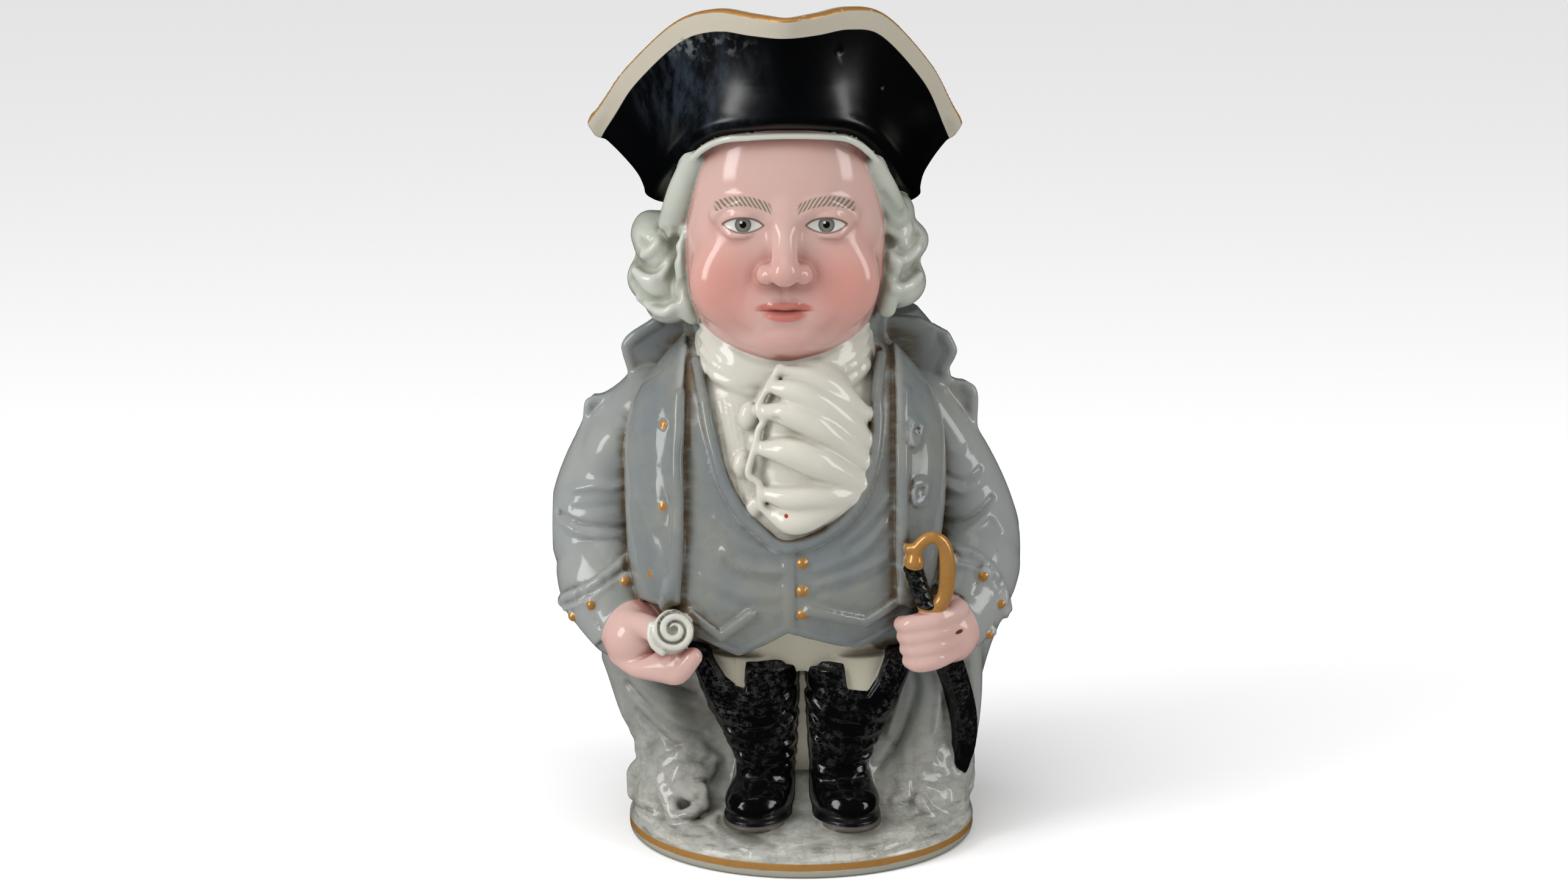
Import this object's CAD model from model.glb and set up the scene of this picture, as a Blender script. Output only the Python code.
import math

import bpy
import numpy as np
import openvdb as vdb
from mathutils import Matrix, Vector


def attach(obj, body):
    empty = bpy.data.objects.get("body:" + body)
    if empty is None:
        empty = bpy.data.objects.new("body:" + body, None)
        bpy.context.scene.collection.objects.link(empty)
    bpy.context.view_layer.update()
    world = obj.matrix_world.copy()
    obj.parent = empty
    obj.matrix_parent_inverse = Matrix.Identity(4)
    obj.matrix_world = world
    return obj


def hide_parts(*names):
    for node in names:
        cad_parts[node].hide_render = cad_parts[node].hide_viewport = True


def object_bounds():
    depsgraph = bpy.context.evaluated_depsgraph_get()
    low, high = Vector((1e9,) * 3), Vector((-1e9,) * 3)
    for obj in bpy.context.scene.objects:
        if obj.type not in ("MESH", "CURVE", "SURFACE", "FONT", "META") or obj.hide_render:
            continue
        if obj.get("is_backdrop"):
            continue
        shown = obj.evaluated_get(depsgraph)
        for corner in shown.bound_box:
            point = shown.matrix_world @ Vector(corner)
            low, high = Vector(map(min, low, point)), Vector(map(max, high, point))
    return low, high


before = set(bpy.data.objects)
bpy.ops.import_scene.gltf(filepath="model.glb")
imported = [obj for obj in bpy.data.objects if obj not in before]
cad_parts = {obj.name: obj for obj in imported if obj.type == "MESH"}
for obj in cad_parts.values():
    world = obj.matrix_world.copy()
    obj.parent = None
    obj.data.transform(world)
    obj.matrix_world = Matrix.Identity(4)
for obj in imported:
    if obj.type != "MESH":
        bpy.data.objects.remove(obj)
bounds_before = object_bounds()

# Driving sizes, in millimetres
STEP = 0.46
BAND = 4.2
FAR = 5.0
LOW = np.array([-57.0, -43.0, -3.0])
HIGH = np.array([51.0, 65.0, 185.0])
SHAPE = np.ceil((HIGH - LOW) / STEP).astype(int) + 1
MOST_FACES = 196000

PLINTH_WIDTH = 74.4
PLINTH_DEPTH = 72.0
PLINTH_HEIGHT = 8.5
WALL = 3.6
FLOOR = 5.0
BRIM = 3.2
BINDING = 3.9
BUTTON = 1.25
COAT = 2.0
SCROLL = 4.3
MIDDLE = -3.6  # the head's middle line
RING = 128

CROWN_PART = 0.3  # how far up the hat's side the hollow meets it
VEST_BLOCK = ([-45, -42, 36], [40, 15, 118])

# How far out and in the surface is felt for hollows and edges, in millimetres
CREVICE_REACH = 1.3
HOLLOW_REACH = 3.2
EDGE_REACH = 1.1

# The view, in metres, degrees, millimetres and pixels
CAMERA_FAR = 0.75
CAMERA_TILT = 13
SENSOR = 36
FOCAL_PIXELS = 5800
PICTURE_PIXELS = 2572

# Light
ROOM_LIGHT = 0.38
SKY_LIGHT = 2.15
SKY_SPREAD = 70

# Blocks of signed distances


def soft_min(a, b, k):
    low = np.minimum(a, b)
    if k <= 0:
        return low
    h = np.clip(k - np.abs(a - b), 0, None)
    return low - h * h * (0.25 / k)


def span(axis, low, high):
    """The slice of a sorted run of coordinates between two values."""
    return slice(int(np.searchsorted(axis, low)), int(np.searchsorted(axis, high)))


def grid(part):
    """Coordinates shaped to spread over a block."""
    x, y, z = part
    return x[:, None, None], y[None, :, None], z[None, None, :]


class Field:
    """Signed distances on a block of the common grid."""

    def __init__(self, low=LOW, high=HIGH):
        start = np.maximum(np.floor((np.array(low) - LOW) / STEP).astype(int), 0)
        stop = np.minimum(np.ceil((np.array(high) - LOW) / STEP).astype(int) + 1, SHAPE)
        self.start = start
        self.d = np.full(stop - start, FAR, np.float32)
        self.axes = [LOW[i] + STEP * np.arange(start[i], stop[i]) for i in range(3)]

    def mix(self, shape, rule):
        measure, low, high = shape
        cut = tuple(span(a, l, h) for a, l, h in zip(self.axes, low, high))
        part = self.d[cut]
        if part.size:
            part[...] = rule(part, measure([a[c] for a, c in zip(self.axes, cut)]))
        return self

    def join(self, shape, k=0.0):
        return self.mix(shape, lambda a, b: soft_min(a, b, k))

    def cut(self, shape, k=0.0):
        return self.mix(shape, lambda a, b: -soft_min(-a, b, k))

    def swell(self, amount, low=LOW, high=HIGH):
        """Moves the surface out by an amount worked out at each point of a box."""
        return self.mix((amount, low, high), lambda a, b: a - b)

    def at(self, points):
        """Distances at points, read between the grid's own."""
        place = (points - LOW) / STEP - self.start
        top = np.array(self.d.shape) - 2
        inside = np.all((place >= 0) & (place <= top + 1), axis=1)
        cell = np.clip(np.floor(place).astype(int), 0, top)
        f = np.clip(place - cell, 0, 1)
        total = np.zeros(len(points))
        for corner in range(8):
            bit = np.array([corner & 1, corner >> 1 & 1, corner >> 2 & 1])
            weight = np.prod(np.where(bit, f, 1 - f), axis=1)
            total += weight * self.d[tuple((cell + bit).T)]
        return np.where(inside, total, FAR)

    def front(self, xz):
        """Points on the surface as seen from the front, at each x and z."""
        xz = np.atleast_2d(np.array(xz, float))
        i = np.clip(((xz[:, 0] - self.axes[0][0]) / STEP).round().astype(int), 0, self.d.shape[0] - 1)
        k = np.clip(((xz[:, 1] - self.axes[2][0]) / STEP).round().astype(int), 0, self.d.shape[2] - 1)
        column = self.d[i, :, k]
        hit = (column < 0).any(axis=1)
        xz, column = xz[hit], column[hit]
        first = np.maximum(np.argmax(column < 0, axis=1), 1)
        rows = np.arange(len(xz))
        a, b = column[rows, first - 1], column[rows, first]
        y = self.axes[1][first] - STEP * np.where(a - b > 1e-6, -b / np.maximum(a - b, 1e-6), 0)
        return np.column_stack([xz[:, 0], y, xz[:, 1]])


# Shapes: a way to measure distance, and the box outside which it doesn't matter


def spline(rows, steps=8, closed=False):
    """A smooth run through rows of numbers."""
    rows = np.array(rows, float)
    count = len(rows) if closed else len(rows) - 1
    out = []
    for i in range(count):
        pick = [(i + k) % len(rows) if closed else min(max(i + k, 0), len(rows) - 1) for k in (-1, 0, 1, 2)]
        a, b, c, d = rows[pick]
        bend = 2 * a - 5 * b + 4 * c - d
        twist = 3 * b - a - 3 * c + d
        for t in np.arange(steps) / steps:
            out.append(0.5 * (2 * b + (c - a) * t + bend * t**2 + twist * t**3))
    if not closed:
        out.append(rows[-1])
    return np.array(out)


def stroke(rows, steps=6, stretch=(1, 1, 1)):
    """A round-ended roll through rows of x, y, z and radius. stretch above 1 thins it along that axis."""
    line = spline(rows, steps) if len(rows) > 2 else np.array(rows, float)
    reach = line[:, 3].max() + BAND
    scale = np.array(stretch, float)

    def measure(axes):
        x, y, z = axes
        d = np.full((len(x), len(y), len(z)), FAR, np.float32)
        for a, b in zip(line[:-1], line[1:]):
            ends = zip(axes, a, b)
            cut = tuple(span(axis, min(p, q) - reach, max(p, q) + reach) for axis, p, q in ends)
            part = d[cut]
            if not part.size:
                continue
            near = grid([axis[c] for axis, c in zip(axes, cut)])
            p = [(g - a[i]).astype(np.float32) * scale[i] for i, g in enumerate(near)]
            way = (b[:3] - a[:3]) * scale
            long = max(float(way @ way), 1e-9)
            h = np.clip((p[0] * way[0] + p[1] * way[1] + p[2] * way[2]) / long, 0, 1)
            gap = sum((p[i] - h * way[i]) ** 2 for i in range(3))
            np.minimum(part, np.sqrt(gap) - (a[3] + h * (b[3] - a[3])), out=part)
        return d

    return measure, line[:, :3].min(0) - reach, line[:, :3].max(0) + reach


def turned(degrees):
    a, b, c = (math.radians(v) for v in degrees)
    rx = np.array([[1, 0, 0], [0, math.cos(a), -math.sin(a)], [0, math.sin(a), math.cos(a)]])
    ry = np.array([[math.cos(b), 0, math.sin(b)], [0, 1, 0], [-math.sin(b), 0, math.cos(b)]])
    rz = np.array([[math.cos(c), -math.sin(c), 0], [math.sin(c), math.cos(c), 0], [0, 0, 1]])
    return rx @ ry @ rz


def ball(centre, radii, degrees=(0, 0, 0)):
    """An ellipsoid, turned about its own axes."""
    centre, radii = np.array(centre, float), np.array(radii, float)
    m = turned(degrees)
    reach = np.sqrt((m**2) @ (radii**2)) + BAND

    def measure(axes):
        g = [v - c for v, c in zip(grid(axes), centre)]
        q = [g[0] * m[0, i] + g[1] * m[1, i] + g[2] * m[2, i] for i in range(3)]
        near = np.sqrt(sum((v / r) ** 2 for v, r in zip(q, radii)))
        slope = np.sqrt(sum((v / r**2) ** 2 for v, r in zip(q, radii)))
        return (near * (near - 1) / np.maximum(slope, 1e-6)).astype(np.float32)

    return measure, centre - reach, centre + reach


def loft(rings):
    """A closed skin over rings of points of equal length, with a flat end on each."""
    rings = [np.array(r, float) for r in rings]
    n = len(rings[0])
    points = np.vstack(rings + [rings[0].mean(0)[None], rings[-1].mean(0)[None]])
    i, j = np.arange(n), (np.arange(n) + 1) % n
    last = (len(rings) - 1) * n
    hub = len(rings) * n
    quads = np.vstack([np.column_stack([r + i, r + j, r + n + j, r + n + i]) for r in range(0, last, n)])
    first_end = np.column_stack([j, i, np.full(n, hub)])
    last_end = np.column_stack([last + i, last + j, np.full(n, hub + 1)])
    ends = np.vstack([first_end, last_end])
    skin = vdb.FloatGrid.createLevelSetFromPolygons(
        (points - LOW).astype(np.float32),
        triangles=ends.astype(np.uint32),
        quads=quads.astype(np.uint32),
        transform=vdb.createLinearTransform(STEP),
        halfWidth=BAND / STEP,
    )

    def measure(axes):
        start = [int(round((a[0] - LOW[i]) / STEP)) for i, a in enumerate(axes)]
        d = np.zeros([len(a) for a in axes], np.float32)
        skin.copyToArray(d, ijk=tuple(start))
        return d

    return measure, points.min(0) - BAND, points.max(0) + BAND


def oval(row, power=2.3, grow=0.0, count=RING):
    z, left, right, front, back = row
    turn = np.arange(count) * 2 * np.pi / count
    c, s = np.cos(turn), np.sin(turn)
    bend = lambda v: np.sign(v) * np.abs(v) ** (2 / power)
    x = (left + right) / 2 + bend(c) * (right - left) / 2 + c * grow
    y = (front + back) / 2 + bend(s) * (back - front) / 2 + s * grow
    return np.column_stack([x, y, np.full(count, z)])


def ovals(rows, power=2.3, grow=0.0, steps=5):
    return loft([oval(row, power, grow) for row in spline(rows, steps)])


def outline_distance(x, z, outline):
    """Signed distance, level, from an outline of x, z points."""
    p = np.array(outline, float)
    gx, gz = np.meshgrid(x, z, indexing="ij")
    best = np.full(gx.shape, 1e9)
    inside = np.zeros(gx.shape, bool)
    for a, b in zip(p, np.roll(p, -1, axis=0)):
        way = b - a
        h = np.clip(((gx - a[0]) * way[0] + (gz - a[1]) * way[1]) / max(way @ way, 1e-9), 0, 1)
        best = np.minimum(best, (gx - a[0] - h * way[0]) ** 2 + (gz - a[1] - h * way[1]) ** 2)
        crosses = (a[1] > gz) != (b[1] > gz)
        rise = b[1] - a[1] if abs(b[1] - a[1]) > 1e-9 else 1e-9
        inside ^= crosses & (gx < a[0] + (gz - a[1]) / rise * way[0])
    return np.where(inside, -1, 1) * np.sqrt(best)


def plate(outline, front, back, smooth=0):
    """A plate cut to an outline of x, z points, between two depths."""
    if smooth:
        outline = spline(outline, smooth, closed=True)
    p = np.array(outline, float)

    def measure(axes):
        x, y, z = axes
        side = outline_distance(x, z, p)[:, None, :]
        deep = np.maximum(front - y, y - back)[None, :, None]
        out = np.sqrt(np.clip(side, 0, None) ** 2 + np.clip(deep, 0, None) ** 2)
        return (out + np.minimum(np.maximum(side, deep), 0)).astype(np.float32)

    low = [p[:, 0].min() - BAND, front - BAND, p[:, 1].min() - BAND]
    high = [p[:, 0].max() + BAND, back + BAND, p[:, 1].max() + BAND]
    return measure, np.array(low), np.array(high)


def ripple(axes, sizes, seed, octaves=3):
    """Smooth noise from about -1 to 1. sizes are the lengths of its waves along x, y and z."""
    rng = np.random.default_rng(seed)
    g = grid(axes)
    total = np.zeros([len(a) for a in axes], np.float32)
    for octave in range(octaves):
        for _ in range(5):
            way = rng.normal(size=3)
            way /= np.linalg.norm(way)
            wave = way * 2 * np.pi * 2**octave / np.array(sizes)
            bend = rng.normal(size=3) * 2 * np.pi / np.array(sizes)
            turn = rng.uniform(0, 2 * np.pi, 2)
            inner = 1.2 * np.sin(g[0] * bend[0] + g[1] * bend[1] + g[2] * bend[2] + turn[0])
            crest = np.sin(g[0] * wave[0] + g[1] * wave[1] + g[2] * wave[2] + turn[1] + inner)
            total += (crest / 2.4 / 1.7**octave).astype(np.float32)
    return total


def line_distance(x, z, line):
    """Distance, level, from an open run of x, z points."""
    gx, gz = np.meshgrid(x, z, indexing="ij")
    best = np.full(gx.shape, 1e9)
    for a, b in zip(line[:-1], line[1:]):
        way = b - a
        h = np.clip(((gx - a[0]) * way[0] + (gz - a[1]) * way[1]) / max(way @ way, 1e-9), 0, 1)
        best = np.minimum(best, (gx - a[0] - h * way[0]) ** 2 + (gz - a[1] - h * way[1]) ** 2)
    return np.sqrt(best)


def ease(v):
    v = np.clip(v, 0, 1)
    return v * v * (3 - 2 * v)


def window(v, low, rise, high, fall):
    """1 between two values, easing to 0 past each over its own length."""
    return ease((v - low) / rise) * ease((high - v) / fall)


def lifted(field, amount, measure, low, high, soft, back):
    """Moves the front out where the measure is below 0, fading to nothing at a depth."""

    def lift(axes):
        near = ease((soft - measure(axes[0], axes[2])) / (2 * soft))[:, None, :]
        fade = ease((back - axes[1]) / 3)[None, :, None]
        return (amount * near * fade).astype(np.float32)

    field.swell(lift, [low[0], LOW[1], low[1]], [high[0], back, high[1]])


def raise_band(field, line, half, amount, soft=0.4, back=-3.0, smooth=4):
    """Lifts a band along a run of x, z points on the front, or sinks it where the amount is below 0."""
    line = spline(line, smooth) if smooth and len(line) > 2 else np.array(line, float)
    wide = half + soft + 0.5
    measure = lambda x, z: line_distance(x, z, line) - half
    lifted(field, amount, measure, line.min(0) - wide, line.max(0) + wide, soft, back)


def raise_area(field, outline, amount, soft=0.4, back=-3.0):
    """Lifts the front inside an outline of x, z points."""
    p = np.array(outline, float)
    measure = lambda x, z: outline_distance(x, z, p)
    lifted(field, amount, measure, p.min(0) - soft, p.max(0) + soft, soft, back)


def crease(field, line, depth, wide, back=-3.0, drop=None):
    """A groove along a run of x, z points with a roll beneath it."""
    raise_band(field, line, 0.1, -depth, wide, back)
    drop = 1.6 * wide if drop is None else drop
    raise_band(field, [[x, z - drop] for x, z in line], 0.1, depth * 0.7, wide * 1.1, back)


# Sections: height, left, right, front, back

CORE = [
    [3, -25, 28, -12, 27],
    [14, -26, 29, -10, 26],
    [30, -30, 33, -11, 27],
    [44, -34, 33, -20, 30],
    [54, -34.5, 30, -28, 31.5],
    [72, -34.5, 29, -29.5, 32],
    [92, -31, 25, -25, 28.5],
    [106, -24.4, 17.4, -20.5, 25],
    [118, -25.4, 18, -24.4, 26.4],
    [140, -26, 18.5, -25, 27],
    [152, -24.5, 16.5, -24.5, 24.5],
]
CLOAK = [
    [4, -33, 35, -24, 31],
    [14, -30, 34.5, -15, 28.5],
    [22, -33, 36.5, -12, 28],
    [30, -38, 39, -10, 29.5],
    [38, -42, 41.5, -8, 31],
    [50, -47, 46, -5, 33],
    [64, -48.5, 45.5, -3, 34],
    [76, -46, 40, -2, 33.5],
    [87, -41.5, 34.5, -2, 32],
    [96, -33.5, 28.5, 0, 28.5],
    [104, -34.5, 30, 1, 30.5],
    [111, -30, 25, 2, 31],
]
VEST = [
    [43, -24, 20, -24, 8],
    [47, -28, 21, -28, 8],
    [51, -31, 23.5, -31, 8],
    [58, -33.5, 26, -33.5, 8],
    [66, -34.5, 27, -33.5, 8],
    [76, -35, 28, -32, 8],
    [86, -35, 28, -30, 8],
    [94, -34, 27, -28, 8],
    [100, -31, 24, -25.5, 8],
    [106, -26, 19, -22, 8],
    [111, -20, 13, -18, 8],
]
NECKLINE = [
    [-21.6, 106],
    [-19.9, 98.7],
    [-18.1, 90.8],
    [-15.6, 82.8],
    [-12.2, 77.2],
    [-8, 73.3],
    [-4.2, 70.9],
    [1.7, 71.6],
    [7.9, 75.2],
    [12.1, 80.6],
    [14.5, 87.6],
    [15.4, 95.2],
    [15.3, 100.3],
    [16.2, 106.6],
]
HEM = [
    [-40, 52.5], [-22.8, 49.8], [-13.1, 45], [-2.6, 51.6], [1.2, 50.4], [11.6, 46.4], [20.9, 50.8], [40, 52]
]
BROW_LINE = [
    [-3.6, -29.6, 155.4],
    [3.8, -29.2, 155.2],
    [9.5, -27, 154.2],
    [14, -22.6, 150.4],
    [18.2, -13, 143.4],
    [20.9, 0, 137],
    [21.2, 8, 134.8],
    [16.4, 20, 132.8],
    [6.5, 27.4, 131.8],
    [-3.8, 29.2, 131.6],
    [-14, 27.4, 131.8],
    [-24, 20, 132.8],
    [-28.8, 8, 134.8],
    [-28.4, 0, 137],
    [-25.8, -13, 143.4],
    [-21.4, -22.6, 150.6],
    [-16.6, -27, 154],
    [-10.6, -29.2, 155],
]
BRIM_LINE = [
    [-3.4, -38, 178],
    [3.2, -34.5, 178.6],
    [10, -28.5, 179.3],
    [17.2, -20.5, 177],
    [26.5, -5, 165.9],
    [31.2, 4, 157.1],
    [33.4, 8.4, 151.6],
    [26, 18, 157.5],
    [12, 26.4, 165],
    [-5, 29.6, 167.5],
    [-22, 26.4, 165],
    [-37.5, 18, 157.2],
    [-44.8, 8.4, 151.6],
    [-41.4, 3, 157.5],
    [-36.2, -4, 165],
    [-26.2, -17.5, 175.3],
    [-18, -26.5, 178.7],
    [-10.5, -33.5, 178.4],
]

# Figure parts


def plinth():
    turn = np.arange(RING) * 2 * np.pi / RING
    rows = [
        (0, 0.9), (0.5, 0.2), (1.2, 0), (3.4, 0), (4.4, 0.5), (5.6, 1.7), (6.8, 3.6), (8, 7),
        (PLINTH_HEIGHT, 12),
    ]
    rings = []
    for z, inset in rows:
        x = np.cos(turn) * (PLINTH_WIDTH / 2 - inset)
        y = np.sin(turn) * (PLINTH_DEPTH / 2 - inset)
        rings.append(np.column_stack([x, y, np.full(RING, z)]))
    return loft(rings)


def body(cloth):
    cloth.join(ovals(CORE))
    cloth.join(ovals(CLOAK, 2.4), 2)
    cloth.join(plinth(), 3)

    def folds(axes):
        x, y, z = grid(axes)
        return 0.6 * np.sin(x * 0.4 + 0.03 * z) * ease((y - 14) / 8) * window(z, 10, 14, 100, 16)

    cloth.swell(folds, [-50, 12, 8], [48, 40, 104])


def collar_flaps(cloth):
    flaps = [
        [
            [-22, 100], [-33, 94], [-36.4, 95.1], [-36.2, 98], [-38.1, 105], [-37, 107.2], [-30.2, 111.6],
            [-22, 112],
        ],
        [
            [-30, 64], [-48.5, 62], [-49.6, 74.6], [-47.8, 82.4], [-46.4, 86], [-45.6, 93], [-44, 94.6],
            [-36.4, 95.1], [-28, 94],
        ],
        [
            [17, 112], [24.9, 111.4], [31, 108.2], [32.7, 104.4], [30.7, 100.1], [31, 98.4], [27, 94],
            [18, 99],
        ],
        [
            [24, 94], [31, 98.4], [35, 97.6], [36.4, 95.4], [36.5, 83.1], [38.8, 78.1], [45, 68.3],
            [46.4, 61], [30, 61],
        ],
    ]
    for outline in flaps:
        cloth.join(plate(outline, 1.2, 4.4), 1.6)
        inner = np.array(outline, float)
        way = inner.mean(0) - inner
        inner += way / np.linalg.norm(way, axis=1)[:, None] * 1.1
        cloth.join(stroke([[x, 1.6, z, 1.1] for x, z in inner[2:-1]], 5), 0.8)


def torso(cloth, linen, breeches):
    lower = plate(HEM + [[60, 20], [-60, 20]], -60, 3)
    open_front = plate([[-24, 125]] + NECKLINE + [[18, 125]], -60, -10)
    vest = Field(*VEST_BLOCK)
    vest.join(ovals(VEST)).cut(lower, 1.2).cut(open_front, 1)
    vest_details(vest)
    coat = Field(*VEST_BLOCK)
    gap = [
        [-25.4, 30], [-25, 60], [-24.2, 100], [-23.4, 116], [-22, 125], [17, 125], [18.4, 116], [19, 100],
        [19.4, 60], [19.8, 30],
    ]
    under = [[-60, 52], [-31, 56], [-20, 58], [16, 58], [26, 55], [60, 52], [60, 20], [-60, 20]]
    coat.join(ovals(VEST, 2.3, COAT)).cut(plate(gap, -60, 0), 1.2).cut(plate(under, -60, 12), 1.2)
    coat_details(coat)
    cloth.d[...] = merged(cloth, vest, 0.5)
    cloth.d[...] = merged(cloth, coat, 0.5)
    linen.join(ovals([[z, l + 6, r - 6, f + 0.3, 4] for z, l, r, f, _ in VEST if z >= 66]))
    rows = [[40, -20, 19, -19, 6], [44, -22, 21, -21.6, 6], [50, -23, 20, -26, 6], [56, -24, 20, -29, 6]]
    breeches.join(ovals(rows))
    for middle in (-11.6, 11.8):
        knee = [(28, 7, -20), (36, 8, -22), (44, 9, -22.6)]
        breeches.join(ovals([[z, middle - half, middle + half, y, 0] for z, half, y in knee]), 1)
    between = [[-1.4, 42], [1.2, 42], [1.6, 30], [2.6, 17], [-1.8, 17], [-1.2, 30]]
    breeches.join(plate(between, -15.5, 0), 0.5)


def vest_details(vest):
    border = vest_front(NECKLINE, 0.5)
    vest.join(stroke([[*p, 1.25] for p in border], 5), 0.7)
    placket = [
        [-4.1, 71], [-3.8, 64.6], [-3.6, 57.9], [-3.4, 53.5], [-2.4, 51.4], [-1.3, 51.2], [-1.5, 58],
        [-1.6, 71],
    ]
    raise_area(vest, placket, 0.5, 0.3)
    for welt in ([[-22.9, 55.4], [-16.8, 50.4], [-10.6, 56.2]], [[1.6, 57.2], [13.2, 53.6], [20.5, 57.8]]):
        raise_band(vest, welt, 1.1, 1.0, 0.3, smooth=0)
        raise_band(vest, [[x, z + 2.2] for x, z in welt], 0.4, -0.35, 1.1, smooth=0)
    for edge in ([[-22.4, 50.9], [-13.2, 46.3], [-3.6, 52.4]], [[-1, 52.2], [11.6, 47.6], [20.6, 51.8]]):
        raise_band(vest, edge, 0.9, 0.4, 0.3, smooth=0)
    folds = [
        ([[-17.6, 76], [-12.4, 71.6], [-5, 69.4]], 0.5),
        ([[-15.6, 69.6], [-11.6, 66.2], [-4.4, 65.6]], 0.9),
        ([[-20.5, 64], [-13, 60.6], [-5, 60.4]], 0.4),
        ([[17, 74.6], [12.6, 69.6], [3, 66]], 0.7),
        ([[17.4, 67.4], [11.9, 64.9], [3, 63]], 0.7),
        ([[17.6, 80], [14, 75.6], [9, 71.6]], 0.6),
    ]
    for line, lift in folds:
        raise_band(vest, line, 0.2, lift * 1.5, 1.6)
        raise_band(vest, [[x, z - 2.4] for x, z in line], 0.1, -lift, 1.3)


def coat_details(coat):
    for x, out in ((-25.6, -2.6), (20.6, 1.8)):
        line = [[x + out, 56.6], [x + out * 0.3, 62], [x, 70], [x, 80], [x, 90]]
        line += [[x + 0.4, z] for z in (100, 108, 113)]
        coat.join(stroke([[*p, 1.2] for p in vest_front(line, COAT)], 5), 0.9)
    for line, lift in (
        ([[-29.4, 100], [-30.4, 88], [-29.6, 74]], 0.6),
        ([[-33, 78], [-30, 68], [-28.4, 60]], 0.7),
        ([[25.6, 100], [26.4, 88], [25.4, 72]], 0.6),
    ):
        raise_band(coat, line, 0.4, lift, 2)
    tab = [(-0.6, 1), (0.5, 0.95), (1, 0.4), (0.75, -0.75), (-0.1, -1), (-0.8, -0.7), (-1, 0.1)]
    for x, z, wide in ((23.4, 92.4, 1.7), (24.2, 80.2, 2)):
        raise_area(coat, [[x + wide * a, z + 3.1 * b] for a, b in tab], 0.9, 0.35, 0)
        hole = [[x - 0.8, z + 0.9], [x + 0.8, z + 1.1], [x + 0.8, z - 0.4], [x - 0.8, z - 0.6]]
        raise_area(coat, hole, -0.7, 0.3, 0)
        raise_band(coat, [[x - 0.5, z - 0.1], [x + 0.6, z + 0.3]], 0.2, 0.6, 0.25, 0, 0)


def merged(field, other, k):
    """The first field with the other joined in."""
    at = tuple(slice(s, s + n) for s, n in zip(other.start - field.start, other.d.shape))
    out = field.d.copy()
    out[at] = soft_min(field.d[at], other.d, k)
    return out


VEST_SKIN = Field(*VEST_BLOCK).join(ovals(VEST))


def vest_front(xz, out=0.0):
    """Points on the belly and chest, a distance in front of the vest."""
    p = VEST_SKIN.front(xz)
    p[:, 1] -= out
    return p


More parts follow.
